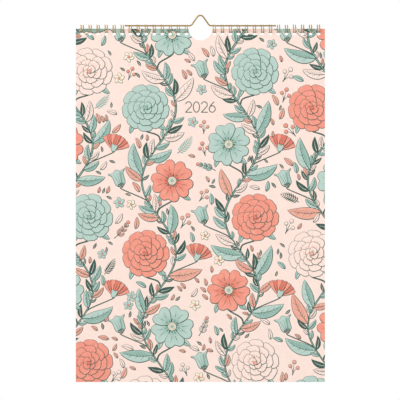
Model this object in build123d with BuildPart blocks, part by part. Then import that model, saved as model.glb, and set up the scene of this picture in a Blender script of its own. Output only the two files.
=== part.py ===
from build123d import *
import os
from math import asin, atan, cos, floor, pi, radians, sin, sqrt, tan

# A wire-bound wall calendar, hanging as it does in use.  Millimetres.
# X runs along the binding, +Y points at the wall, +Z is up.
# The origin is where a nail carries the hanger, under the top of its kink.

# ---- driving dimensions ---------------------------------------------------------

# paper
sheet_width = 263.0
sheet_height = 373.0
cover_thickness = 0.25
leaf_thickness = 0.13
leaf_count = 12             # one a month
board_thickness = 0.50
sheet_play = 0.05           # air in front of the leaves, and behind them

# punching, three holes to the inch
punch_pitch = 25.4 / 3
hole_diameter = 4.0
hole_margin = 3.1           # paper between the top edge and a hole
side_margin = 6.0           # least distance from a side edge to the middle of a hole
first_hole = 14.8           # from the middle of the sheet to the nearest hole
notch_radius = 12.4         # thumb cut in the middle of the top edge

# twin-loop wire combs
wire_diameter = 0.9
loop_diameter = 8.8         # to the middle of the wire
twin_spacing = 2.3          # between the two wires of a loop, middle to middle
spine_bend_radius = 0.9
spine_play = 0.45           # between the backing board and the spine wires behind it
tip_gap = 2.5               # along the loop, from its first wire to its tip's bend
spine_stub = 0.8            # straight spine wire left past the last loops
hole_play = 0.03            # between the wire and the edge of the hole it carries

# hanger rod
rod_diameter = 1.6
rod_length = 160.0
rod_play = 0.05             # between the rod and the loops that hang on it
rod_end_chamfer = 0.25
kink_height = 10.9          # from the straight rod to the top of the kink
kink_slope = 55.0           # degrees above the rod
kink_top_radius = 4.0
kink_foot_radius = 4.0

# ---- where things meet ------------------------------------------------------------

wire_radius = wire_diameter / 2
loop_radius = loop_diameter / 2
twin_offset = twin_spacing / 2
hole_radius = hole_diameter / 2
rod_radius = rod_diameter / 2

# From the front: cover, leaves, backing board, and behind them the combs' spine wires.
# The sheets are centred under the middle of the loops.
pages_thickness = leaf_count * leaf_thickness
stack_thickness = cover_thickness + pages_thickness + board_thickness + 2 * sheet_play
cover_back = cover_thickness - stack_thickness / 2
pages_back = cover_back + sheet_play + pages_thickness
board_back = stack_thickness / 2
spine_y = board_back + spine_play + wire_radius

# The nail carries the kink, the rod carries the loops, the loops carry the holes.
rod_z = rod_radius - kink_height
loop_z = rod_z + rod_radius + rod_play + wire_radius - loop_radius
wire_drop = sqrt(loop_radius**2 - (stack_thickness / 2) ** 2)
wire_above_hole_middle = sqrt((hole_radius - wire_radius - hole_play) ** 2 - twin_offset**2)
hole_z = loop_z - wire_drop - wire_above_hole_middle
sheet_top = hole_z + hole_radius + hole_margin

# One comb on each side of the thumb cut, with a loop in every hole.
punched_width = sheet_width / 2 - side_margin - first_hole
loops_a_side = floor(punched_width / punch_pitch) + 1
hole_offsets = [first_hole + i * punch_pitch for i in range(loops_a_side)]


# ---- sheets: cover, month pages and backing board -----------------------------------

def punched_sheet(back, thickness):
    """A sheet, or a block of them, whose back face lies at y = back."""
    with BuildPart() as sheet:
        with BuildSketch(Plane.XZ.offset(-back)):
            with Locations((0, sheet_top - sheet_height / 2)):
                Rectangle(sheet_width, sheet_height)
            with Locations((0, sheet_top)):
                Circle(notch_radius, mode=Mode.SUBTRACT)
            with Locations(*[(side * x, hole_z) for side in (-1, 1) for x in hole_offsets]):
                Circle(hole_radius, mode=Mode.SUBTRACT)
        extrude(amount=thickness)
    return sheet


front_cover = punched_sheet(cover_back, cover_thickness)
month_pages = punched_sheet(pages_back, pages_thickness)
back_board = punched_sheet(board_back, board_thickness)


# ---- twin-loop combs ------------------------------------------------------------------

# A comb is one wire.  It runs along the spine, bends into a loop, goes round it, turns
# back in a narrow tip, goes round again beside itself and bends out to the spine.
# Angles on a loop start at its lowest point and grow towards the wall.
spine_reach = sqrt(loop_radius**2 + spine_bend_radius**2)
loop_start = asin(spine_y / spine_reach) - atan(spine_bend_radius / loop_radius)
loop_end = loop_start + tip_gap / loop_radius
loop_turn = 2 * pi - (loop_end - loop_start)


def on_loop(x, angle, ahead=0.0):
    """A point on a loop, or a distance ahead of it along the loop's tangent."""
    y = loop_radius * sin(angle) + ahead * cos(angle)
    z = loop_z - loop_radius * cos(angle) + ahead * sin(angle)
    return (x, y, z)


def bend_between(x, side):
    """The middle of the bend from a loop's wire out to the spine, on one side."""
    short_of_45 = spine_bend_radius * (1 - cos(radians(45)))
    along_45 = spine_bend_radius * sin(radians(45))
    return on_loop(x + side * (twin_offset + short_of_45), loop_start, along_45)


def on_spine(x):
    return on_loop(x, loop_start, spine_bend_radius)


def twin_loop_comb(first, last):
    """A comb whose loops run from x = first to x = last."""
    loop_places = [first + i * punch_pitch for i in range(loops_a_side)]
    bend_out = twin_offset + spine_bend_radius
    halfway = loop_start - loop_turn / 2
    with BuildPart() as comb:
        with BuildLine() as wire:
            spine_from = first - bend_out - spine_stub
            for x in loop_places:
                left = x - twin_offset
                right = x + twin_offset
                Line(on_spine(spine_from), on_spine(x - bend_out))
                ThreePointArc(on_spine(x - bend_out), bend_between(x, -1), on_loop(left, loop_start))
                ThreePointArc(
                    on_loop(left, loop_start), on_loop(left, halfway), on_loop(left, loop_end)
                )
                ThreePointArc(
                    on_loop(left, loop_end),
                    on_loop(x, loop_end, -twin_offset),
                    on_loop(right, loop_end),
                )
                ThreePointArc(
                    on_loop(right, loop_end), on_loop(right, halfway), on_loop(right, loop_start)
                )
                ThreePointArc(
                    on_loop(right, loop_start), bend_between(x, 1), on_spine(x + bend_out)
                )
                spine_from = x + bend_out
            Line(on_spine(spine_from), on_spine(spine_from + spine_stub))
        with BuildSketch(Plane(origin=on_spine(first - bend_out - spine_stub), z_dir=(1, 0, 0))):
            Circle(wire_radius)
        sweep()
    return comb


left_comb = twin_loop_comb(-hole_offsets[-1], -hole_offsets[0])
right_comb = twin_loop_comb(hole_offsets[0], hole_offsets[-1])


# ---- hanger -----------------------------------------------------------------------------

# A straight rod inside the loops, with a kink at its middle that drops over the nail.
slope = radians(kink_slope)
kink_corner_height = kink_height + kink_top_radius * (1 / cos(slope) - 1)
kink_corner_x = kink_corner_height / tan(slope)

with BuildPart() as hanger:
    with BuildLine(Plane.XZ):
        FilletPolyline(
            (-rod_length / 2, rod_z),
            (-kink_corner_x, rod_z),
            (0, rod_z + kink_corner_height),
            (kink_corner_x, rod_z),
            (rod_length / 2, rod_z),
            radius=[kink_foot_radius, kink_top_radius, kink_foot_radius],
        )
    with BuildSketch(Plane(origin=(-rod_length / 2, 0, rod_z), z_dir=(1, 0, 0))):
        Circle(rod_radius)
    sweep()
    rod_ends = hanger.faces().filter_by(Axis.X).edges()
    chamfer(rod_ends, rod_end_chamfer)

# ---- write the pieces -------------------------------------------------------------------

front_cover.part.label = "front_cover"
month_pages.part.label = "month_pages"
back_board.part.label = "back_board"
left_comb.part.label = "left_comb"
right_comb.part.label = "right_comb"
hanger.part.label = "hanger"

os.makedirs("parts", exist_ok=True)
export_step(front_cover.part, "parts/front_cover.step")
export_step(month_pages.part, "parts/month_pages.step")
export_step(back_board.part, "parts/back_board.step")
export_step(left_comb.part, "parts/left_comb.step")
export_step(right_comb.part, "parts/right_comb.step")
export_step(hanger.part, "parts/hanger.step")
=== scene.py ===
# %% [markdown]
# # A wire-bound wall calendar
# The calendar is six real pieces: a printed cover, a block of month leaves, a backing
# board, two combs of twin wire loops and a bent hanger rod. The frame gives the size and
# place of each one, and this lesson gives them their finish. We begin by loading the frame
# and keeping its box, which gives the pieces below their sizes and places.

# %% Load the frame
import math
import bpy
import numpy as np
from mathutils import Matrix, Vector
from mathutils.geometry import delaunay_2d_cdt


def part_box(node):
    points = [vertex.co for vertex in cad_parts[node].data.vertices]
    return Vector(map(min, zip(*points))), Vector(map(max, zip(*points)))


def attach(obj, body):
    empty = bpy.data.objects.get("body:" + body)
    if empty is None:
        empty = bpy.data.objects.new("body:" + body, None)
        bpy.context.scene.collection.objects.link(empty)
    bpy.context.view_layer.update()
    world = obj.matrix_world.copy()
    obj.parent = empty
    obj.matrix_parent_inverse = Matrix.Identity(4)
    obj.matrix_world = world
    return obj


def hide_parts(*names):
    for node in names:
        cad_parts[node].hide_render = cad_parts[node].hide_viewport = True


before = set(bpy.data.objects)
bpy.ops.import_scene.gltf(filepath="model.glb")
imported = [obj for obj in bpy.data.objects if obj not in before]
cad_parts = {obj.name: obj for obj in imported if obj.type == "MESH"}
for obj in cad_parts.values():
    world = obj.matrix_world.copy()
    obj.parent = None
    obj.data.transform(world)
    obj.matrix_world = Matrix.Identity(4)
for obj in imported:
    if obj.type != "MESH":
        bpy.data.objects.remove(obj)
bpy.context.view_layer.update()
MM = 0.001

cover_low, cover_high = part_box("front_cover")
pages_low, pages_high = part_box("month_pages")
comb_low, comb_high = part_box("right_comb")
sheet_width = (cover_high[0] - cover_low[0]) / MM
sheet_height = (cover_high[2] - cover_low[2]) / MM
sheet_top = cover_high[2] / MM
print(f"sheet {sheet_width:.1f} x {sheet_height:.1f} mm, top edge at z = {sheet_top:.2f} mm")

# %% [markdown]
# ## Camera, floor and light
# The calendar hangs flat and faces us, so a long lens straight in front of it keeps every
# edge parallel. The white surround is only what the camera and shiny metal see: the light
# that falls on the paper is a separate, plainer level, so printed colours stay as mixed.

# %% Camera
view_width = 0.4223         # of the frame, at the distance of the cover
lens = 200.0
sensor = 36.0
above_sheet = 0.0303        # from the top edge to the top of the frame
camera_data = bpy.data.cameras.new("camera")
camera_data.lens = lens
camera_data.sensor_width = sensor
camera = bpy.data.objects.new("camera", camera_data)
camera_distance = view_width * lens / sensor
camera.location = (-0.0004, cover_low[1] - camera_distance, cover_high[2] + above_sheet - view_width / 2)
camera.rotation_euler = (math.radians(90), 0, 0)
camera_data.clip_end = 20
bpy.context.scene.collection.objects.link(camera)
bpy.context.scene.camera = camera
bpy.context.scene.view_settings.view_transform = "Standard"
print(f"camera {camera_distance:.2f} m in front of the cover")


# %% Light
def white_surround(tree, lit):
    """Mixes what lights the object with the white that camera and metal see."""
    nodes, links = tree.nodes, tree.links
    path = nodes.new("ShaderNodeLightPath")
    seen = path.outputs["Is Camera Ray"]
    for ray in ("Is Glossy Ray", "Is Transmission Ray"):
        either = nodes.new("ShaderNodeMath")
        either.operation = "MAXIMUM"
        links.new(seen, either.inputs[0])
        links.new(path.outputs[ray], either.inputs[1])
        seen = either.outputs[0]
    mix = nodes.new("ShaderNodeMixShader")
    links.new(seen, mix.inputs[0])
    links.new(lit.outputs[0], mix.inputs[1])
    return mix


world = bpy.data.worlds.new("studio")
bpy.context.scene.world = world
world.use_nodes = True
world_tree = world.node_tree
world_tree.nodes.clear()
world_out = world_tree.nodes.new("ShaderNodeOutputWorld")
soft = world_tree.nodes.new("ShaderNodeBackground")
soft.inputs["Color"].default_value = (1, 1, 1, 1)
soft.inputs["Strength"].default_value = 0.62
white = world_tree.nodes.new("ShaderNodeBackground")
white.inputs["Color"].default_value = (1, 1, 1, 1)
white.inputs["Strength"].default_value = 1.0
surround = white_surround(world_tree, soft)
world_tree.links.new(white.outputs[0], surround.inputs[2])
world_tree.links.new(surround.outputs[0], world_out.inputs["Surface"])


def softbox(name, place, aim, size, power):
    """A square lamp that looks at a point."""
    data = bpy.data.lights.new(name, "AREA")
    data.size = size
    data.energy = power
    lamp = bpy.data.objects.new(name, data)
    lamp.location = place
    lamp.rotation_euler = (Vector(aim) - Vector(place)).to_track_quat("-Z", "Y").to_euler()
    bpy.context.scene.collection.objects.link(lamp)
    return lamp


middle = (0, 0, (cover_low[2] + cover_high[2]) / 2)
softbox("key_lamp", (-0.9, -1.6, 0.9), middle, 0.9, 13.0)
softbox("fill_lamp", (1.3, -1.5, 0.0), middle, 1.2, 6.0)
softbox("back_lamp", (0.6, 1.8, 0.8), middle, 1.2, 16.0)

# %% Floor
bpy.ops.mesh.primitive_plane_add(size=8.0, location=(0, 0, cover_low[2] - 0.25))
floor = bpy.context.object
floor.name = "floor"
floor_material = bpy.data.materials.new("floor")
floor_material.use_nodes = True
floor_tree = floor_material.node_tree
floor_skin = floor_tree.nodes["Principled BSDF"]
floor_skin.inputs["Base Color"].default_value = (0.86, 0.86, 0.86, 1)
floor_skin.inputs["Roughness"].default_value = 0.9
floor_white = floor_tree.nodes.new("ShaderNodeEmission")
floor_white.inputs["Strength"].default_value = 1.0
floor_mix = white_surround(floor_tree, floor_skin)
floor_tree.links.new(floor_white.outputs[0], floor_mix.inputs[2])
floor_tree.links.new(floor_mix.outputs[0], floor_tree.nodes["Material Output"].inputs["Surface"])
floor.data.materials.append(floor_material)

# %% [markdown]
# ## Finishes
# Card, paper and board are all pressed fibre, so they share one recipe: a base colour
# that drifts a little, and a fine bump. Inks lie on the card and keep its tooth, with a
# slightly uneven film as in block printing. Every pattern reads Object coordinates, which
# are metres here, so a noise scale of 1000 gives features about a millimetre across.


# %% Colour and paper
def srgb(red, green, blue):
    """A colour on the usual 0 to 255 scale, as the linear values that shaders take."""
    def linear(c):
        c = c / 255
        return c / 12.92 if c <= 0.04045 else ((c + 0.055) / 1.055) ** 2.4
    return (linear(red), linear(green), linear(blue), 1.0)


def noise(tree, scale, detail=3.0, stretch=None):
    """A noise on the piece's own coordinates."""
    place = tree.nodes.new("ShaderNodeTexCoord")
    texture = tree.nodes.new("ShaderNodeTexNoise")
    texture.inputs["Scale"].default_value = scale
    texture.inputs["Detail"].default_value = detail
    source = place.outputs["Object"]
    if stretch:
        mapping = tree.nodes.new("ShaderNodeMapping")
        mapping.inputs["Scale"].default_value = stretch
        tree.links.new(source, mapping.inputs["Vector"])
        source = mapping.outputs["Vector"]
    tree.links.new(source, texture.inputs["Vector"])
    return texture


def drift(tree, texture, low_colour, high_colour, low=0.35, high=0.65):
    """Turns a noise into a drift between two colours."""
    ramp = tree.nodes.new("ShaderNodeValToRGB")
    ramp.color_ramp.elements[0].position = low
    ramp.color_ramp.elements[0].color = low_colour
    ramp.color_ramp.elements[1].position = high
    ramp.color_ramp.elements[1].color = high_colour
    tree.links.new(texture.outputs["Fac"], ramp.inputs["Fac"])
    return ramp


def bump(tree, skin, texture, strength, distance):
    node = tree.nodes.new("ShaderNodeBump")
    node.inputs["Strength"].default_value = strength
    node.inputs["Distance"].default_value = distance
    tree.links.new(texture.outputs["Fac"], node.inputs["Height"])
    tree.links.new(node.outputs["Normal"], skin.inputs["Normal"])


def new_skin(name, roughness, specular=0.5):
    material = bpy.data.materials.new(name)
    material.use_nodes = True
    skin = material.node_tree.nodes["Principled BSDF"]
    skin.inputs["Roughness"].default_value = roughness
    skin.inputs["Specular IOR Level"].default_value = specular
    return material, material.node_tree, skin


def pressed_fibre(name, colour, shade, roughness, tooth, specular=0.35, patch=60.0):
    """Paper, card or board: a colour that drifts towards a shade of itself."""
    material, tree, skin = new_skin(name, roughness, specular)
    clouds = drift(tree, noise(tree, patch, 4.0), colour, shade)
    tree.links.new(clouds.outputs["Color"], skin.inputs["Base Color"])
    bump(tree, skin, noise(tree, 2600.0, 4.0), tooth, 0.00006)
    return material


def printing_ink(name, colour, shade, flecks=0.0):
    """One ink of the cover.  Flecks let a little of the ground through a heavy line."""
    material, tree, skin = new_skin(name, 0.5, 0.35)
    film = drift(tree, noise(tree, 220.0, 5.0), colour, shade, 0.38, 0.68)
    result = film.outputs["Color"]
    if flecks:
        grain = drift(tree, noise(tree, 1500.0, 2.0), (0, 0, 0, 1), (1, 1, 1, 1), 0.66, 0.72)
        mix = tree.nodes.new("ShaderNodeMix")
        mix.data_type = "RGBA"
        limit = tree.nodes.new("ShaderNodeMath")
        limit.operation = "MULTIPLY"
        limit.inputs[1].default_value = flecks
        tree.links.new(grain.outputs["Color"], limit.inputs[0])
        tree.links.new(limit.outputs[0], mix.inputs["Factor"])
        tree.links.new(result, mix.inputs[6])
        mix.inputs[7].default_value = GROUND
        result = mix.outputs[2]
    tree.links.new(result, skin.inputs["Base Color"])
    bump(tree, skin, noise(tree, 2600.0, 4.0), 0.12, 0.00006)
    return material


GROUND = srgb(253, 229, 219)
inks = {
    "ground": printing_ink("ink_ground", GROUND, srgb(252, 226, 214)),
    "dark": printing_ink("ink_dark", srgb(38, 78, 68), srgb(56, 96, 84), 0.5),
    "mint": printing_ink("ink_mint", srgb(183, 208, 198), srgb(191, 213, 203)),
    "sage": printing_ink("ink_sage", srgb(148, 184, 172), srgb(160, 192, 180)),
    "coral": printing_ink("ink_coral", srgb(243, 150, 130), srgb(246, 162, 142)),
    "rust": printing_ink("ink_rust", srgb(223, 118, 98), srgb(229, 130, 110)),
    "clay": printing_ink("ink_clay", srgb(238, 168, 148), srgb(241, 178, 158)),
    "cream": printing_ink("ink_cream", srgb(252, 238, 214), srgb(250, 232, 206)),
}
card = pressed_fibre("card_stock", srgb(250, 247, 240), srgb(246, 242, 234), 0.6, 0.2)
leaf_paper = pressed_fibre("leaf_paper", srgb(249, 247, 242), srgb(245, 243, 237), 0.62, 0.2)
print("inks:", ", ".join(inks))

# %% Greyboard and wire
def greyboard(name):
    """Uncoated board: mottled grey pulp with dark and pale fibres pressed into it."""
    material, tree, skin = new_skin(name, 0.85, 0.2)
    pulp = drift(tree, noise(tree, 420.0, 6.0), srgb(163, 155, 144), srgb(172, 164, 153))
    fibres = noise(tree, 900.0, 2.0, stretch=(1.0, 1.0, 0.22))
    flecks = drift(tree, fibres, (0, 0, 0, 1), (1, 1, 1, 1), 0.67, 0.71)
    mix = tree.nodes.new("ShaderNodeMix")
    mix.data_type = "RGBA"
    tree.links.new(flecks.outputs["Color"], mix.inputs["Factor"])
    tree.links.new(pulp.outputs["Color"], mix.inputs[6])
    mix.inputs[7].default_value = srgb(112, 103, 94)
    tree.links.new(mix.outputs[2], skin.inputs["Base Color"])
    bump(tree, skin, noise(tree, 1400.0, 5.0), 0.45, 0.0001)
    return material


def coated_wire(name, colour, shade, roughness):
    """Steel wire in a thin gold coat, drawn through a die and a little uneven."""
    material, tree, skin = new_skin(name, roughness)
    skin.inputs["Metallic"].default_value = 1.0
    coat = drift(tree, noise(tree, 300.0, 3.0), colour, shade, 0.3, 0.7)
    tree.links.new(coat.outputs["Color"], skin.inputs["Base Color"])
    bump(tree, skin, noise(tree, 1800.0, 3.0, stretch=(0.25, 1.0, 1.0)), 0.1, 0.00004)
    return material


board_finish = greyboard("greyboard_pulp")
comb_gold = coated_wire("comb_gold", srgb(196, 164, 98), srgb(178, 146, 82), 0.3)
rod_gold = coated_wire("rod_gold", srgb(168, 138, 84), srgb(150, 122, 72), 0.34)

# %% [markdown]
# ## Wires
# A comb is one wire: along the spine, out into a loop, back in a narrow tip, round again
# beside itself, and on to the next loop. The path of one loop is a formula, so we make
# only that as a line of points. Geometry Nodes repeat it at the punching pitch, merge the
# ends into one long wire and give it a round section, which is how a curve with a profile
# makes any bent wire.

# %% Wire sizes, measured from the frame
wire_radius = 0.45
loop_radius = (comb_high[2] - comb_low[2]) / MM / 2 - wire_radius
loop_z = (comb_high[2] + comb_low[2]) / MM / 2
pitch = 25.4 / 3
twin_offset = 1.15
bend_radius = 0.9
stub = 0.8
spine_gap = 0.45            # from the board to the spine wires
tip_gap = 2.5               # from the spine to the tips of the loops
loops_a_side = 14
loop_reach = math.hypot(loop_radius, bend_radius)
first_loop = comb_low[0] / MM + stub + bend_radius + twin_offset
board_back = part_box("back_board")[1][1] / MM
spine_y = board_back + spine_gap + wire_radius
loop_start = math.asin(spine_y / loop_reach) - math.atan(bend_radius / loop_radius)
loop_end = loop_start + tip_gap / loop_radius
print(f"loops of radius {loop_radius:.2f} mm round z = {loop_z:.2f}, first at x = {first_loop:.2f}")


# %% Path of one loop
def loop_point(x, angle, ahead=0.0):
    """A point on a loop, or ahead of it along the tangent.  Angle 0 is the lowest point."""
    y = loop_radius * math.sin(angle) + ahead * math.cos(angle)
    z = loop_z - loop_radius * math.cos(angle) + ahead * math.sin(angle)
    return Vector((x, y, z)) * MM


def twin_loop(middle_x):
    """The wire of one loop, from the middle of one spine stretch to the next."""
    path = [loop_point(middle_x - pitch / 2, loop_start, bend_radius)]
    for i in range(9):
        turn = math.pi / 2 * i / 8
        out = twin_offset + bend_radius * (1 - math.sin(turn))
        path.append(loop_point(middle_x - out, loop_start, bend_radius * math.cos(turn)))
    round_trip = 2 * math.pi - (loop_end - loop_start)
    for i in range(1, 65):
        path.append(loop_point(middle_x - twin_offset, loop_start - round_trip * i / 64))
    for i in range(1, 12):
        turn = math.pi * i / 12
        x = middle_x - twin_offset * math.cos(turn)
        path.append(loop_point(x, loop_end, -twin_offset * math.sin(turn)))
    mirrored = [Vector((2 * middle_x * MM - p.x, p.y, p.z)) for p in reversed(path[:74])]
    return path + mirrored


def path_object(name, path):
    mesh = bpy.data.meshes.new(name)
    edges = [(i, i + 1) for i in range(len(path) - 1)]
    mesh.from_pydata([tuple(p) for p in path], edges, [])
    piece = bpy.data.objects.new(name, mesh)
    bpy.context.scene.collection.objects.link(piece)
    return piece


# %% Node tree: a path, repeated and given a round section
def add_socket(tree, name, kind, value):
    socket = tree.interface.new_socket(name=name, in_out="INPUT", socket_type=kind)
    socket.default_value = value
    return socket.identifier


def wire_tree(material):
    tree = bpy.data.node_groups.new("bent_wire", "GeometryNodeTree")
    tree.interface.new_socket(name="Path", in_out="INPUT", socket_type="NodeSocketGeometry")
    keys = {
        "Count": add_socket(tree, "Count", "NodeSocketInt", 1),
        "Pitch": add_socket(tree, "Pitch", "NodeSocketFloat", 0.01),
        "Radius": add_socket(tree, "Radius", "NodeSocketFloat", 0.0005),
    }
    tree.interface.new_socket(name="Wire", in_out="OUTPUT", socket_type="NodeSocketGeometry")
    nodes, links = tree.nodes, tree.links
    inputs = nodes.new("NodeGroupInput")
    output = nodes.new("NodeGroupOutput")
    step = nodes.new("ShaderNodeCombineXYZ")
    links.new(inputs.outputs["Pitch"], step.inputs["X"])
    row = nodes.new("GeometryNodeMeshLine")
    links.new(inputs.outputs["Count"], row.inputs["Count"])
    links.new(step.outputs[0], row.inputs["Offset"])
    repeat = nodes.new("GeometryNodeInstanceOnPoints")
    links.new(row.outputs[0], repeat.inputs["Points"])
    links.new(inputs.outputs["Path"], repeat.inputs["Instance"])
    real = nodes.new("GeometryNodeRealizeInstances")
    links.new(repeat.outputs[0], real.inputs[0])
    joined = nodes.new("GeometryNodeMergeByDistance")
    joined.inputs["Distance"].default_value = 0.00002
    links.new(real.outputs[0], joined.inputs[0])
    curve = nodes.new("GeometryNodeMeshToCurve")
    links.new(joined.outputs[0], curve.inputs[0])
    ring = nodes.new("GeometryNodeCurvePrimitiveCircle")
    ring.inputs["Resolution"].default_value = 14
    links.new(inputs.outputs["Radius"], ring.inputs["Radius"])
    skin = nodes.new("GeometryNodeCurveToMesh")
    skin.inputs["Fill Caps"].default_value = True
    links.new(curve.outputs[0], skin.inputs["Curve"])
    links.new(ring.outputs[0], skin.inputs["Profile Curve"])
    coat = nodes.new("GeometryNodeSetMaterial")
    coat.inputs["Material"].default_value = material
    links.new(skin.outputs[0], coat.inputs["Geometry"])
    links.new(coat.outputs[0], output.inputs[0])
    return tree, keys


def apply_tree(piece, tree, keys, values):
    """Sets the inputs, evaluates the tree once and keeps its result as a plain mesh."""
    modifier = piece.modifiers.new("nodes", "NODES")
    modifier.node_group = tree
    for name, value in values.items():
        modifier[keys[name]] = value
    ready = piece.evaluated_get(bpy.context.evaluated_depsgraph_get())
    mesh = bpy.data.meshes.new_from_object(ready)
    piece.modifiers.remove(modifier)
    piece.data = mesh
    return piece


# %% Combs
comb_tree, comb_keys = wire_tree(comb_gold)
comb_values = {"Count": loops_a_side, "Pitch": pitch * MM, "Radius": wire_radius * MM}
comb_starts = {"right": first_loop, "left": -first_loop - (loops_a_side - 1) * pitch}
for side, start in comb_starts.items():
    wires = path_object(f"{side}_comb_wire", twin_loop(start))
    apply_tree(wires, comb_tree, comb_keys, comb_values)
    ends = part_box(f"{side}_comb")
    for vertex in wires.data.vertices:
        vertex.co.x = min(max(vertex.co.x, ends[0][0]), ends[1][0])
    wires.data.polygons.foreach_set("use_smooth", [True] * len(wires.data.polygons))
    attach(wires, "binding")
    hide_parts(f"{side}_comb")
    print(side, "comb:", len(wires.data.polygons), "faces")

# %% [markdown]
# ## Hanger
# The rod's true shape is already in the frame, so it keeps its own mesh and only gets its
# coat. The same goes for the backing board, a flat sheet whose surface is all in its
# finish.

# %% Finishes on the frame's own pieces
for node, finish in (("hanger", rod_gold), ("back_board", board_finish)):
    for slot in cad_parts[node].material_slots:
        slot.material = finish

# %% [markdown]
# ## Drawing on a sheet
# The cover is printed with flat inks. An image would blur close up, so each mark is a
# closed outline in millimetres, and later one flat mesh is cut along all of them. Points
# are complex numbers: adding moves a shape and multiplying turns it. Zero is the middle
# of the sheet's top edge, and the sheet lies below it.

# %% Marks and lines
marks = []                  # (ink, outline), later ones on top


def turned(angle):
    """A step of one millimetre in a direction."""
    return np.exp(1j * np.asarray(angle, dtype=float))


def thinned(outline, slack=0.05):
    """An outline without the points that lie almost on the line between neighbours."""
    line = list(outline) + [outline[0]]
    kept, start = [0], 0
    while start < len(line) - 1:
        end = start + 1
        while end + 1 < len(line):
            way = line[end + 1] - line[start]
            off = [abs(((p - line[start]) * way.conjugate()).imag) / max(abs(way), 1e-9)
                   for p in line[start + 1:end + 1]]
            if max(off) > slack:
                break
            end += 1
        kept.append(end)
        start = end
    return np.array([line[i] for i in kept[:-1]])


def mark(ink, outline):
    """Adds one filled shape, its points counter-clockwise as the cut wants them."""
    outline = thinned(np.asarray(outline, dtype=complex))
    area = np.sum(np.imag(np.conj(outline) * np.roll(outline, -1))) / 2
    if len(outline) > 2 and abs(area) > 0.02:
        marks.append((ink, outline if area > 0 else outline[::-1]))


def grown(outline, amount, nib=0.45):
    """An outline moved outwards, more on its lower right, as a slanted nib would."""
    along = np.roll(outline, -1) - np.roll(outline, 1)
    area = np.sum(np.imag(np.conj(outline) * np.roll(outline, -1)))
    outward = -1j * along / np.maximum(np.abs(along), 1e-9) * np.sign(area)
    slant = np.real(outward * np.conj(turned(-0.9)))
    return outline + outward * amount * (1 + nib * slant)


def outlined(ink, outline, line=0.6):
    mark("dark", grown(outline, line))
    mark(ink, outline)


def curve(points, count=12):
    """A smooth line through a few points."""
    p = np.asarray(points, dtype=complex)
    p = np.concatenate([[2 * p[0] - p[1]], p, [2 * p[-1] - p[-2]]])
    line = []
    spans = len(p) - 3
    for i in range(spans):
        t = np.linspace(0, 1, max(2, count // spans + 1))[:-1]
        a, b, c, d = p[i:i + 4]
        line.append(0.5 * (2 * b + (c - a) * t + (2 * a - 5 * b + 4 * c - d) * t**2
                           + (3 * b - a - 3 * c + d) * t**3))
    return np.concatenate(line + [[p[-2]]])


def stroke(ink, line, start, end, swell=0.0):
    """A brush stroke along a line, from one width to another, swelling between."""
    line = np.asarray(line, dtype=complex)
    t = np.linspace(0, 1, len(line))
    half = (start + (end - start) * t + swell * np.sin(np.pi * t)) / 2
    along = np.gradient(line)
    side = 1j * along / np.maximum(np.abs(along), 1e-9)
    mark(ink, np.concatenate([line + side * half, (line - side * half)[::-1]]))


def arc_line(base, heading, length, bend, count=8):
    """A line that leaves a point in a direction and bends evenly."""
    steps = turned(heading + bend * (np.arange(count - 1) + 0.5) / (count - 1))
    return base + np.concatenate([[0], np.cumsum(steps)]) * length / (count - 1)


# %% [markdown]
# ## Leaves and small sprigs
# A leaf is a bent midrib with a width that swells and narrows along it. One function
# gives all leaves, and its style chooses which inks it takes: filled and half shaded,
# only drawn, or solid. The sprigs are leaves, berries and stalks put together.


# %% Leaf
def leaf(base, heading, length, width, bend=0.0, style="mint"):
    rib = arc_line(base, heading, length, bend, 12)
    t = np.linspace(0, 1, 12)
    half = width / 2 * np.sin(np.pi * t**0.82) ** 0.9
    along = np.gradient(rib)
    side = 1j * along / np.abs(along)
    left, right = rib + side * half, rib - side * half
    edge = np.concatenate([right, left[-2:0:-1]])
    if style == "dark":
        mark("dark", edge)
        stroke("ground", rib[2:9], 0.5, 0.2)
        return
    inks_of = {"mint": ("mint", "sage"), "open": ("ground", None), "blush": ("clay", None)}
    fill, shade = inks_of[style]
    outlined(fill, edge, 0.45 + length * 0.006)
    if shade:
        mark(shade, np.concatenate([rib[1:-1], (rib - side * half * 0.97)[-2:0:-1]]))
    stroke("dark", rib[:-1], 0.8, 0.25)
    if length < 13:
        return
    for i in range(2, 9):
        reach = 0.72 if style == "open" else 0.6
        for edge_line in (left, right) if i % 2 else (right,):
            tip = rib[i] + (edge_line[i + 1] - rib[i]) * reach + (rib[i + 1] - rib[i]) * 0.5
            stroke("dark", np.array([rib[i], (rib[i] + tip) / 2, tip]), 0.42, 0.16)


# %% Sprigs
def circle(centre, radius, count=14):
    return centre + radius * turned(np.arange(count) * 2 * np.pi / count)


def berry(centre, radius, ink):
    outlined(ink, circle(centre, radius), 0.45)
    stroke("dark", centre + radius * 0.55 * turned(np.linspace(3.6, 5.6, 5)), 0.3, 0.2)


def berry_sprig(base, heading, length, ink="coral"):
    """Three berries on a forked stalk."""
    for i, (reach, fan) in enumerate(((1.0, 0.1), (0.72, 0.75), (0.66, -0.7))):
        stalk = arc_line(base, heading, length * reach, fan, 7)
        stroke("dark", stalk, 0.9, 0.45)
        berry(stalk[-1] + length * 0.1 * turned(heading + fan), length * (0.13 + 0.02 * (i == 0)), ink)


def frond(base, heading, length, bend, ink="dark"):
    """A fern frond: pairs of slim leaflets that shrink to its tip."""
    rib = arc_line(base, heading, length, bend, 11)
    stroke("dark", rib, 0.8, 0.3)
    for i in range(1, 10):
        size = length * 0.26 * math.sin(math.pi * (0.25 + 0.07 * i))
        way = np.angle(rib[i + 1] - rib[i])
        for side in (-1, 1):
            tip = rib[i] + size * turned(way + side * 0.95)
            middle = (rib[i] + tip) / 2
            across = 1j * (tip - rib[i]) * 0.17
            mark(ink, [rib[i], middle + across, tip, middle - across])


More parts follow.
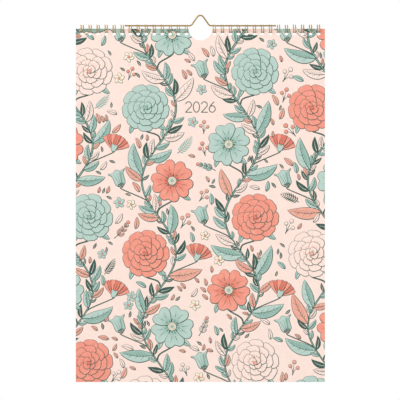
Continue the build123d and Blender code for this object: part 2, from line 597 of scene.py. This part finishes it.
def leaf_sprig(base, heading, length, bend, style):
    """A stem with small leaves in pairs and a berry at its tip."""
    stem = arc_line(base, heading, length, bend, 9)
    stroke("dark", stem, 0.9, 0.5)
    for i in (2, 4, 6):
        way = np.angle(stem[i + 1] - stem[i])
        for side in (-1, 1):
            size = length * (0.36 - 0.03 * i)
            leaf(stem[i], way + side * 0.8, size, size * 0.42, -side * 0.5, style)
    berry(stem[-1], length * 0.075, "coral")


def pinwheel(centre, radius, turn, ink="cream"):
    """A small five-petalled blossom whose petals lean one way."""
    for i in range(5):
        way = turn + i * 2 * math.pi / 5
        t = np.linspace(0, 2 * np.pi, 11)[:-1]
        lean = 0.55 + 0.45 * np.cos(t) + 1j * 0.36 * np.sin(t + 0.5)
        outlined(ink, centre + radius * lean * turned(way), 0.42)
    outlined("coral", circle(centre, radius * 0.2, 10), 0.35)


# %% [markdown]
# ## Blossoms
# The large heads are open camellias, rings of overlapping petals drawn from the outside
# in, and dog roses with five notched petals round a crown of stamens. The smaller heads
# are bellflowers and fan-shaped pinks seen from the side. All are old standbys of
# printed cotton and wallpaper.


# %% Camellia
def camellia(centre, radius, turn, petal_ink="coral", fold_ink="rust"):
    rings = ((9, 0.62, 0.36, 0.30), (8, 0.43, 0.31, 0.26), (6, 0.25, 0.25, 0.21), (4, 0.10, 0.17, 0.13))
    for ring, (count, reach, deep, wide) in enumerate(rings):
        for i in range(count):
            way = turn + ring * 0.4 + i * 2 * math.pi / count
            t = np.arange(18) * 2 * np.pi / 18
            rim = 1 - 0.10 * np.exp(-((np.angle(np.exp(1j * t)) / 0.35) ** 2))
            shape = deep * np.cos(t) * rim + 1j * wide * np.sin(t) * (1 + 0.28 * np.cos(t))
            petal = centre + radius * (reach + shape) * turned(way)
            outlined(petal_ink, petal, 0.55)
            foot = centre + radius * (reach - deep * 0.15) * turned(way)
            for fold in (-0.45, 0.0, 0.45):
                heart = centre + radius * (reach - deep * 0.85) * turned(way)
                tip = foot + radius * (deep * 0.55 + 1j * fold * wide) * turned(way)
                bulge = 0.05 * (tip - heart) * 1j * fold
                stroke(fold_ink, curve([heart, (heart + tip) / 2 + bulge, tip], 5),
                       radius * 0.045, 0.25, radius * 0.012)
            if i % 2 == ring % 2:
                crease = foot + radius * deep * 0.6 * turned(way + 0.25)
                stroke("dark", curve([foot, crease], 4), 0.45, 0.15)
    outlined(fold_ink, circle(centre, radius * 0.075, 10), 0.4)


# %% Dog rose
def dog_rose(centre, radius, turn, petal_ink="coral", fold_ink="rust"):
    for i in range(5):
        way = turn + i * 2 * math.pi / 5
        right = [0.12, 0.34 - 0.24j, 0.66 - 0.46j, 0.92 - 0.42j, 1.0 - 0.2j, 0.90]
        left = [np.conj(p) for p in right[-2:0:-1]]
        petal = curve([*right, *left, right[0]], 26)[:-1]
        petal = centre + radius * petal * turned(way)
        outlined(petal_ink, petal, 0.65)
        for ray in np.linspace(-0.42, 0.42, 7):
            start = centre + radius * 0.2 * turned(way + ray * 0.8)
            reach = 0.62 if abs(ray) < 0.2 else 0.5
            stroke(fold_ink, arc_line(start, way + ray, radius * (reach - 0.1), ray * 0.4, 5), 1.3, 0.25)
        for ray in (-0.2, 0.16):
            start = centre + radius * 0.5 * turned(way + ray)
            stroke("dark", arc_line(start, way + ray * 1.4, radius * 0.3, ray, 4), 0.5, 0.16)
    outlined("cream", circle(centre, radius * 0.2, 18), 0.5)
    for i in range(14):
        way = turn + 0.2 + i * 2 * math.pi / 14
        reach = radius * (0.34 if i % 2 else 0.29)
        root = centre + radius * 0.1 * turned(way)
        stroke("dark", arc_line(root, way, reach - radius * 0.1, 0.1, 3), 0.35, 0.3)
        mark("dark", circle(centre + reach * turned(way), 0.62, 7))
    mark("sage", circle(centre, radius * 0.09, 12))


# %% Bellflower and pink
def bellflower(base, size, heading):
    """A hanging bell with three lobes, seen from the side."""
    bell = curve([0.02, 0.22 - 0.26j, 0.55 - 0.30j, 0.82 - 0.34j, 1.0 - 0.52j, 0.93 - 0.24j, 1.08,
                  0.93 + 0.24j, 1.0 + 0.52j, 0.82 + 0.34j, 0.55 + 0.30j, 0.22 + 0.26j, 0.02], 36)[:-1]
    place = size * turned(heading)
    outlined("mint", base + bell * place, 0.6)
    shaded = curve([0.05, 0.24 - 0.2j, 0.55 - 0.25j, 0.86 - 0.30j, 0.86 - 0.12j, 0.5 - 0.08j,
                    0.05], 18)[:-1]
    mark("sage", base + shaded * place)
    for fork in (-0.15, 0.0, 0.15):
        rib = np.array([0.18 + 0.4j * fork, 0.5 + 0.9j * fork, 0.84 + 1.4j * fork])
        stroke("dark", base + rib * place, 0.5, 0.2)
    for side in (-0.5, 0.0, 0.5):
        leaf(base - 0.04 * place, heading + side, size * 0.36, size * 0.14, 0.0, "dark")


def fan_pink(base, size, heading):
    """A fan of fringed petals over a slim cup."""
    for i in (-3, 3, -2, 2, -1, 1, 0):
        way = heading + i * 0.27
        rim = [1.0 + 0.06 * (k % 2) + 0.17j * (k - 2) / 2 for k in range(5)]
        petal = np.array([0.2 - 0.02j, 0.62 - 0.13j, *rim, 0.62 + 0.13j, 0.2 + 0.02j])
        petal = base + size * petal * turned(way)
        outlined("coral" if i % 2 else "rust", petal, 0.5)
        stroke("dark", base + size * np.array([0.45, 0.62, 0.8]) * turned(way), 0.45, 0.16)
    cup = curve([-0.04, 0.08 - 0.13j, 0.42 - 0.17j, 0.36, 0.42 + 0.17j, 0.08 + 0.13j, -0.04], 20)[:-1]
    outlined("mint", base + size * cup * turned(heading), 0.55)


# %% [markdown]
# ## Layout
# Four climbing stems wander up the sheet side by side. Each swings round a large blossom,
# first on one side and then on the other, and the next stem is half a step out, so the
# heads fall like bricks in a wall. A coarse grid of occupied cells keeps later leaves off
# earlier ones: a leaf tries its longest size first and shrinks until it fits.


# %% Occupied cells
class Room:
    """Which square millimetres of the sheet already hold something."""

    def __init__(self, width, height, rim=30):
        self.rim, self.width = rim, width
        self.taken = np.zeros((int(height) + 2 * rim, int(width) + 2 * rim), bool)

    def window(self, centre, radius):
        x = centre.real + self.width / 2 + self.rim
        y = -centre.imag + self.rim
        rows = slice(max(0, int(y - radius)), max(0, int(y + radius) + 2))
        columns = slice(max(0, int(x - radius)), max(0, int(x + radius) + 2))
        part = self.taken[rows, columns]
        deep, wide = part.shape
        yy, xx = np.mgrid[rows.start:rows.start + deep, columns.start:columns.start + wide]
        return part, (xx + 0.5 - x) ** 2 + (yy + 0.5 - y) ** 2 <= radius**2

    def free(self, discs):
        for centre, radius in discs:
            part, inside = self.window(centre, radius)
            if (part & inside).any():
                return False
        return True

    def fill(self, discs):
        for centre, radius in discs:
            part, inside = self.window(centre, radius)
            part |= inside


room = Room(sheet_width, sheet_height)


def line_discs(line, radius):
    return [(p, radius) for p in line]


def leaf_discs(base, heading, length, width, bend):
    rib = arc_line(base, heading, length, bend, 9)
    return [(p, max(0.6, width * 0.5 * f)) for p, f in zip(rib[3:], (0.95, 1, 0.9, 0.7, 0.5, 0.3))]


def grow_leaf(base, heading, lengths, bend, style, slim=0.34):
    """Draws the longest of some lengths that has room."""
    for length in lengths:
        discs = leaf_discs(base, heading, length, length * slim, bend)
        if room.free([(c, r + 0.5) for c, r in discs]):
            room.fill(discs)
            leaf(base, heading, length, length * slim, bend, style)
            return True
    return False


# %% Stems
step = 77.0                 # down a stem, from one blossom to the next
swing = 18.0
stem_gap = sheet_width / 3
head_side = 14.0            # from a stem's middle to its blossoms
head_sizes = {"camellia": 26.0, "dog_rose": 21.5}
year_middle = -82.7j
room.fill([(year_middle + x, 9.0) for x in (-14, -7, 0, 7, 14)])
room.fill([(0j, 15.5)])


def first_blossom(column):
    """The depth of a stem's first blossom: neighbours are half a step apart."""
    return 45.0 if column % 2 == 0 else 6.5


def stem_at(column, depth):
    sway = math.cos(math.pi * (depth - first_blossom(column)) / step)
    return (column - 1.5) * stem_gap - swing * sway - 1j * depth


def blossoms_of(column):
    """Depth and side of each blossom on a stem."""
    return [(first_blossom(column) + n * step, 1 if n % 2 == 0 else -1) for n in range(-1, 6)]


stems, heads = [], []
for column in range(4):
    line = np.array([stem_at(column, depth) for depth in np.arange(-14.0, sheet_height + 16, 3.0)])
    stems.append(line)
    room.fill(line_discs(line, 0.9))
    for n, (depth, side) in enumerate(blossoms_of(column)):
        kind = "camellia" if (n + column) % 2 else "dog_rose"
        centre = (column - 1.5) * stem_gap + side * head_side - 1j * depth
        heads.append((kind, centre, column, depth, side))
        room.fill([(centre, head_sizes[kind] + 0.8)])
print(len(heads), "large blossoms on", len(stems), "stems")

# %% [markdown]
# Each blossom hangs on a stalk that leaves its stem lower down, as on a real twig. On the
# other side of the stem a small blossom gets a stalk too, where the sheet has room.

# %% Stalks and side blossoms
small_heads = []
for kind, centre, column, depth, side in heads:
    start = stem_at(column, depth + 36)
    foot = centre - 1j * head_sizes[kind] * 0.8
    stalk = curve([start, start + 7j + side * 3, foot - 3j + side, foot + 6j], 12)
    stroke("dark", stalk, 1.8, 1.3)
    room.fill(line_discs(stalk, 1.4))
    side_start = stem_at(column, depth + 24)
    side_foot = stem_at(column, depth) - side * 21 - 7j
    side_stalk = curve([side_start, side_start - side * 6 + 5j, side_foot - 2j, side_foot], 12)
    if room.free([(side_foot + 9j, 11.0)]):
        stroke("dark", side_stalk, 1.4, 1.0)
        room.fill(line_discs(side_stalk[3:], 1.2))
        heading = math.pi / 2 + side * 0.35
        small_heads.append(((column + int(depth)) % 2, side_foot, heading))
        room.fill([(side_foot + 9 * turned(heading), 10.5)])
print(len(small_heads), "side blossoms")

for line in stems:
    stroke("dark", line, 2.6, 1.9)
    stroke("sage", line[:-1], 0.8, 0.5)

# %% [markdown]
# Leaves could be placed by hand, but a rule keeps them even: every few millimetres both
# sides of a stem try a long leaf, then shorter ones, and draw the first that has room.

# %% Leaves along the stems
leaf_styles = ("mint", "dark", "mint", "open", "mint", "dark", "blush")
leaf_lengths = (36, 31, 27, 23, 19, 16, 13, 10, 8)
grown_leaves = 0
for column in range(4):
    for n, depth in enumerate(np.arange(-8.0, sheet_height + 24, 5.6)):
        base = stem_at(column, depth)
        way = np.angle(stem_at(column, depth - 1) - base)
        for side in ((1, -1) if n % 2 else (-1, 1)):
            lean = side * (0.95 + 0.2 * math.sin(1.7 * n + column))
            style = leaf_styles[(n * 2 + column + (side > 0)) % len(leaf_styles)]
            longest = leaf_lengths if style != "dark" else leaf_lengths[4:]
            grown_leaves += grow_leaf(base, way + lean, longest, -side * (0.5 + 0.25 * (n % 3)), style)
print(grown_leaves, "leaves on the stems")

# %% [markdown]
# The blossoms come after the leaves, so they lie on top. Their inks take turns.

# %% Draw the blossoms
head_inks = {
    "camellia": (("ground", "clay"), ("mint", "sage"), ("coral", "rust")),
    "dog_rose": (("mint", "sage"), ("coral", "rust")),
}
drawn = {"camellia": 0, "dog_rose": 0}
for n, (kind, centre, column, depth, side) in enumerate(heads):
    for spread in (-0.9, -2.2):
        leaf(centre + head_sizes[kind] * 0.8 * turned(spread), spread, 11.0, 4.6, 0.5, "mint")
    colours = head_inks[kind][drawn[kind] % len(head_inks[kind])]
    drawn[kind] += 1
    draw = camellia if kind == "camellia" else dog_rose
    draw(centre, head_sizes[kind], 0.3 + 0.8 * n, *colours)
for flip, foot, heading in small_heads:
    if flip:
        bellflower(foot, 18.0, heading)
    else:
        fan_pink(foot, 17.0, heading)

# %% [markdown]
# Last come the fillers. They are tried at random places, largest first, and stay only
# where they have room, which spreads them evenly. The seed is fixed, so every run draws
# the same sheet.

# %% Fillers
rng = np.random.default_rng(11)


def sprig_discs(base, heading, length, bend, fat):
    line = arc_line(base, heading, length, bend, 7)
    return [(p, length * fat) for p in line[1:]] + [(base, 1.0)]


def sprig_filler(base, heading, size, style):
    leaf_sprig(base, heading, size * 0.9, 0.4, style)


def frond_filler(base, heading, size, ink):
    frond(base, heading, size, 0.5, ink)


def berry_filler(base, heading, size, ink):
    berry_sprig(base, heading, size * 0.85, ink)


def pinwheel_filler(base, heading, size, ink):
    pinwheel(base + size * 0.5 * turned(heading), size * 0.52, heading, ink)


def leaf_filler(base, heading, size, style):
    leaf(base, heading, size, size * 0.36, 0.5, style)


def small_leaf_filler(base, heading, size, style):
    leaf(base, heading, size, size * 0.4, 0.5, style)


# tries, size in mm, share of the size kept free about it, what is drawn, its inks in turn
fillers = (
    (330, 27.0, 0.25, sprig_filler, ("open", "blush", "mint")),
    (330, 25.0, 0.20, frond_filler, ("sage", "dark")),
    (420, 17.0, 0.26, berry_filler, ("coral", "clay", "ground")),
    (420, 12.0, 0.34, pinwheel_filler, ("cream", "mint")),
    (700, 13.0, 0.16, leaf_filler, ("blush", "open", "mint")),
    (900, 8.0, 0.17, small_leaf_filler, ("dark", "blush")),
)
for tries, size, fat, draw, kinds in fillers:
    made = 0
    for _ in range(tries):
        base = complex(rng.uniform(-sheet_width / 2, sheet_width / 2), -rng.uniform(8, sheet_height + 6))
        heading = math.pi / 2 + rng.uniform(-1.1, 1.1)
        length = size * rng.uniform(0.8, 1.0)
        discs = sprig_discs(base, heading, length, 0.4, fat)
        if room.free(discs):
            room.fill(discs)
            draw(base, heading, length, kinds[made % len(kinds)])
            made += 1
    print(made, "fillers of", size, "mm")

# %% [markdown]
# ## Numerals
# The year and the days of a month are plain numbers, drawn with the same pen: each digit
# is one or two lines in a box one high and 0.6 wide.

# %% Digits
def ellipse(cx, cy, rx, ry, start=0.0, end=360.0, count=24):
    t = np.radians(np.linspace(start, end, count))
    return cx + rx * np.cos(t) + 1j * (cy + ry * np.sin(t))


digit_lines = {
    "0": [ellipse(0.3, 0.5, 0.3, 0.5)],
    "1": [np.array([0.12 + 0.8j, 0.34 + 1j, 0.34 + 0.5j, 0.34])],
    "2": [np.concatenate([ellipse(0.3, 0.71, 0.28, 0.29, 165, -35, 14), [0.02 + 0j, 0.6 + 0j]])],
    "3": [ellipse(0.27, 0.75, 0.25, 0.25, 150, -90, 14), ellipse(0.27, 0.26, 0.29, 0.26, 90, -150, 16)],
    "4": [np.array([0.6 + 0.28j, 0.0 + 0.28j, 0.45 + 1j, 0.45 + 0j])],
    "5": [np.concatenate([[0.54 + 1j, 0.12 + 1j, 0.07 + 0.55j],
                          ellipse(0.28, 0.32, 0.3, 0.32, 125, -150, 16)])],
    "6": [ellipse(0.3, 0.31, 0.29, 0.31), curve([0.47 + 1j, 0.16 + 0.66j, 0.01 + 0.33j], 8)],
    "7": [np.array([0.02 + 1j, 0.58 + 1j, 0.2 + 0j])],
    "8": [ellipse(0.3, 0.75, 0.24, 0.25), ellipse(0.3, 0.26, 0.29, 0.26)],
    "9": [ellipse(0.3, 0.69, 0.29, 0.31), curve([0.13 + 0j, 0.44 + 0.34j, 0.59 + 0.67j], 8)],
}


def number(text, middle, height, pen, spacing=0.86, ink="dark"):
    """A number about its middle, with pen strokes that stay one width."""
    width = height * (spacing * (len(text) - 1) + 0.6)
    for i, digit in enumerate(text):
        corner = middle - width / 2 - 0.5j * height + i * spacing * height
        for line in digit_lines[digit]:
            for a, b in zip(line[:-1], line[1:]):
                ends = corner + height * np.array([a, b])
                along = (ends[1] - ends[0]) / max(abs(ends[1] - ends[0]), 1e-9)
                ends = ends + np.array([-1, 1]) * along * pen * 0.3
                side = 0.5j * pen * along
                mark(ink, [ends[0] - side, ends[1] - side, ends[1] + side, ends[0] + side])


number("2026", year_middle, 11.0, 0.95, 0.76)
cover_marks = list(marks)
print(len(cover_marks), "marks on the cover")

# %% [markdown]
# ## Cutting the sheet
# `delaunay_2d_cdt` lays every outline over the sheet and returns triangles that no line
# crosses, with the list of outlines round each. The last outline drawn is the ink on top.
# The same triangles are the card's front, so print and card are one closed solid and
# nothing floats above the paper.

# %% Sheet outline
notch_radius = 12.4
hole_radius = 2.0
hole_depth = 5.1            # from the top edge to the middle of a hole
hole_places = [side * (first_loop + i * pitch) - 1j * hole_depth
               for side in (-1, 1) for i in range(loops_a_side)]


def sheet_outline():
    """The sheet's edge and its holes, as closed loops of points."""
    half, low = sheet_width / 2, -sheet_height
    notch = notch_radius * turned(np.linspace(np.pi, 2 * np.pi, 33))
    edge = np.concatenate([[-half + 0j], notch, [half + 0j, half + 1j * low, -half + 1j * low]])
    holes = [circle(place, hole_radius + 0.01, 32) for place in hole_places]
    return edge[::-1], holes


def first_cut(outlines, drawing):
    """Cuts along every outline; gives the points and the ink left of each edge."""
    points, faces = [], []
    for outline in outlines:
        faces.append(list(range(len(points), len(points) + len(outline))))
        points.extend(Vector((p.real, p.imag)) for p in outline)
    verts, _, triangles, _, _, around = delaunay_2d_cdt(points, [], faces, 1, 1e-4, True)
    first_mark = len(outlines) - len(drawing)
    ink_left = {}
    for (a, b, c), owners in zip(triangles, around):
        if 0 in owners and not any(0 < owner < first_mark for owner in owners):
            top = max(owners)
            ink = drawing[top - first_mark][0] if top >= first_mark else "bare"
            ink_left[(a, b)] = ink_left[(b, c)] = ink_left[(c, a)] = ink
    return verts, ink_left


def second_cut(verts, ink_left):
    """Cuts again along the edges where the ink changes, so no hidden line is left."""
    seams = [(a, b) for (a, b), ink in ink_left.items()
             if ink_left.get((b, a)) != ink and (a < b or (b, a) not in ink_left)]
    used = sorted({v for seam in seams for v in seam})
    place = {v: i for i, v in enumerate(used)}
    inputs = [(place[a], place[b]) for a, b in seams]
    points, edges, triangles, _, origins, _ = delaunay_2d_cdt(
        [verts[v] for v in used], inputs, [], 0, 1e-5, True)
    left = {}
    for (a, b), origin in zip(edges, origins):
        if origin:
            start, end = seams[origin[0]]
            if (points[b] - points[a]).dot(verts[end] - verts[start]) < 0:
                start, end = end, start
            left[(a, b)] = ink_left.get((start, end))
            left[(b, a)] = ink_left.get((end, start))
    owner = {}
    for i, (a, b, c) in enumerate(triangles):
        owner[(a, b)] = owner[(b, c)] = owner[(c, a)] = i
    found, waiting = {}, []
    for edge, ink in left.items():
        if edge in owner and owner[edge] not in found:
            found[owner[edge]] = ink
            waiting.append(owner[edge])
    while waiting:
        i = waiting.pop()
        a, b, c = triangles[i]
        for edge in ((b, a), (c, b), (a, c)):
            if edge not in left and edge in owner and owner[edge] not in found:
                found[owner[edge]] = found[i]
                waiting.append(owner[edge])
    kept = [i for i in range(len(triangles)) if found.get(i)]
    return points, [triangles[i] for i in kept], [found[i] for i in kept]


def cut_sheet(drawing):
    """Points, triangles and the ink of each, for a sheet under some marks."""
    edge, holes = sheet_outline()
    outlines = [edge, *holes, *[outline for ink, outline in drawing]]
    verts, triangles, kept_inks = second_cut(*first_cut(outlines, drawing))
    return [complex(v.x, v.y) for v in verts], triangles, kept_inks


def rim_of(triangles):
    """The directed edges that only one triangle has."""
    edges = {}
    for a, b, c in triangles:
        for edge in ((a, b), (b, c), (c, a)):
            edges[edge] = True
    return [(a, b) for a, b in edges if (b, a) not in edges]


def fill_rim(points, rim):
    """Triangles for the plain back, from the rim's own points only."""
    used = sorted({v for edge in rim for v in edge})
    place = {v: i for i, v in enumerate(used)}
    flat = [Vector((points[v].real, points[v].imag)) for v in used]
    after = dict(rim)
    loops, left = [], set(after)
    while left:
        start = v = left.pop()
        loop = [place[v]]
        while after[v] != start:
            v = after[v]
            left.discard(v)
            loop.append(place[v])
        loops.append(loop)
    size = [sum(flat[a].cross(flat[b]) for a, b in zip(loop, loop[1:] + loop[:1])) for loop in loops]
    outer = max(range(len(loops)), key=lambda i: abs(size[i]))
    loops = [loop if area > 0 else loop[::-1] for loop, area in zip(loops, size)]
    _, _, triangles, _, _, around = delaunay_2d_cdt(flat, [], loops, 1, 1e-7, True)
    return used, [t for t, owners in zip(triangles, around) if list(owners) == [outer]]


def sheet_mesh(name, drawing, front_y, back_y, stock, ground=None):
    """A printed sheet as one closed mesh, its print on the front."""
    points, triangles, kept_inks = cut_sheet(drawing)
    colours = dict(inks, bare=ground or stock)
    slots = sorted(set(kept_inks))
    rim = rim_of(triangles)
    used, back = fill_rim(points, rim)
    behind = {v: len(points) + i for i, v in enumerate(used)}
    verts = [(p.real * MM, front_y, (sheet_top + p.imag) * MM) for p in points]
    verts += [(points[v].real * MM, back_y, (sheet_top + points[v].imag) * MM) for v in used]
    faces = list(triangles)
    faces += [[len(points) + v for v in reversed(t)] for t in back]
    faces += [[b, a, behind[a], behind[b]] for a, b in rim]
    mesh = bpy.data.meshes.new(name)
    mesh.from_pydata(verts, [], faces)
    for finish in (stock, *[colours[ink] for ink in slots]):
        mesh.materials.append(finish)
    front = [1 + slots.index(ink) for ink in kept_inks]
    mesh.polygons.foreach_set("material_index", front + [0] * (len(faces) - len(front)))
    piece = bpy.data.objects.new(name, mesh)
    bpy.context.scene.collection.objects.link(piece)
    print(f"{name}: {len(triangles)} front, {len(back)} back, {len(rim)} rim faces")
    return piece


# %% Cover
cover = sheet_mesh("printed_cover", cover_marks, cover_low[1], cover_high[1], card, inks["ground"])
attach(cover, "cover")
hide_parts("front_cover")

# %% [markdown]
# ## Month leaves
# Behind the cover hang twelve thin leaves. The first carries a month: a strip of
# blossoms, the month's number and a grid of plain numbers. The others are hidden, so one
# plain leaf is repeated by a small node tree.

# %% A month
marks.clear()
half_width = sheet_width / 2
strip = (                   # middle, radius and kind of each blossom
    (-101 - 43j, 21, camellia), (-52 - 58j, 18, dog_rose), (-46j, 21, camellia),
    (52 - 58j, 18, dog_rose), (101 - 43j, 21, camellia),
)
for i, (centre, size, draw) in enumerate(strip):
    for way in (0.5, 2.6, -0.6, 3.8):
        style = ("mint", "open")[i % 2]
        leaf(centre + size * 0.75 * turned(way), way, size * 0.95, size * 0.36, 0.5, style)
    for way in (-1.1, -2.1):
        berry_sprig(centre + size * 0.8 * turned(way), way, size * 0.6, "clay")
    draw(centre, size, 0.4 + i)
number("1", -104j, 17.0, 1.5)
grid_left, grid_top, cell_width, cell_height = -half_width + 12, -122.0, (sheet_width - 24) / 7, 45.0
for row in range(6):
    y = grid_top - row * cell_height
    stroke("sage", np.array([grid_left + 1j * y, -grid_left + 1j * y]), 0.6, 0.6)
for column in range(8):
    x = grid_left + column * cell_width
    stroke("sage", np.array([x + 1j * grid_top, x + 1j * (grid_top - 5 * cell_height)]), 0.6, 0.6)
for day in range(1, 32):
    row, column = divmod(day + 2, 7)
    corner = grid_left + column * cell_width + 1j * (grid_top - row * cell_height)
    number(str(day), corner + 7.5 - 7.5j, 6.5, 0.75, 0.8, "rust" if column == 6 else "dark")
month_marks = list(marks)
print(len(month_marks), "marks on the month")

# %% Leaves
leaf_count = 12
leaf_thickness = (pages_high[1] - pages_low[1]) / leaf_count * 0.9
leaf_step = (pages_high[1] - pages_low[1] - leaf_thickness) / (leaf_count - 1)
month = sheet_mesh("month_leaf", month_marks, pages_low[1], pages_low[1] + leaf_thickness, leaf_paper)
second = pages_low[1] + leaf_step
rest = sheet_mesh("leaf_stack", [], second, second + leaf_thickness, leaf_paper)

stack_tree = bpy.data.node_groups.new("stack", "GeometryNodeTree")
stack_tree.interface.new_socket(name="Leaf", in_out="INPUT", socket_type="NodeSocketGeometry")
stack_keys = {
    "Count": add_socket(stack_tree, "Count", "NodeSocketInt", 2),
    "Step": add_socket(stack_tree, "Step", "NodeSocketFloat", 0.0001),
}
stack_tree.interface.new_socket(name="Stack", in_out="OUTPUT", socket_type="NodeSocketGeometry")
nodes, links = stack_tree.nodes, stack_tree.links
stack_in = nodes.new("NodeGroupInput")
stack_out = nodes.new("NodeGroupOutput")
offset = nodes.new("ShaderNodeCombineXYZ")
links.new(stack_in.outputs["Step"], offset.inputs["Y"])
places = nodes.new("GeometryNodeMeshLine")
links.new(stack_in.outputs["Count"], places.inputs["Count"])
links.new(offset.outputs[0], places.inputs["Offset"])
copies = nodes.new("GeometryNodeInstanceOnPoints")
links.new(places.outputs[0], copies.inputs["Points"])
links.new(stack_in.outputs["Leaf"], copies.inputs["Instance"])
solid = nodes.new("GeometryNodeRealizeInstances")
links.new(copies.outputs[0], solid.inputs[0])
links.new(solid.outputs[0], stack_out.inputs[0])
apply_tree(rest, stack_tree, stack_keys, {"Count": leaf_count - 1, "Step": leaf_step})
for piece in (month, rest):
    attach(piece, "binding")
    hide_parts("month_pages")
print(leaf_count, "leaves,", len(rest.data.polygons), "faces in the stack")
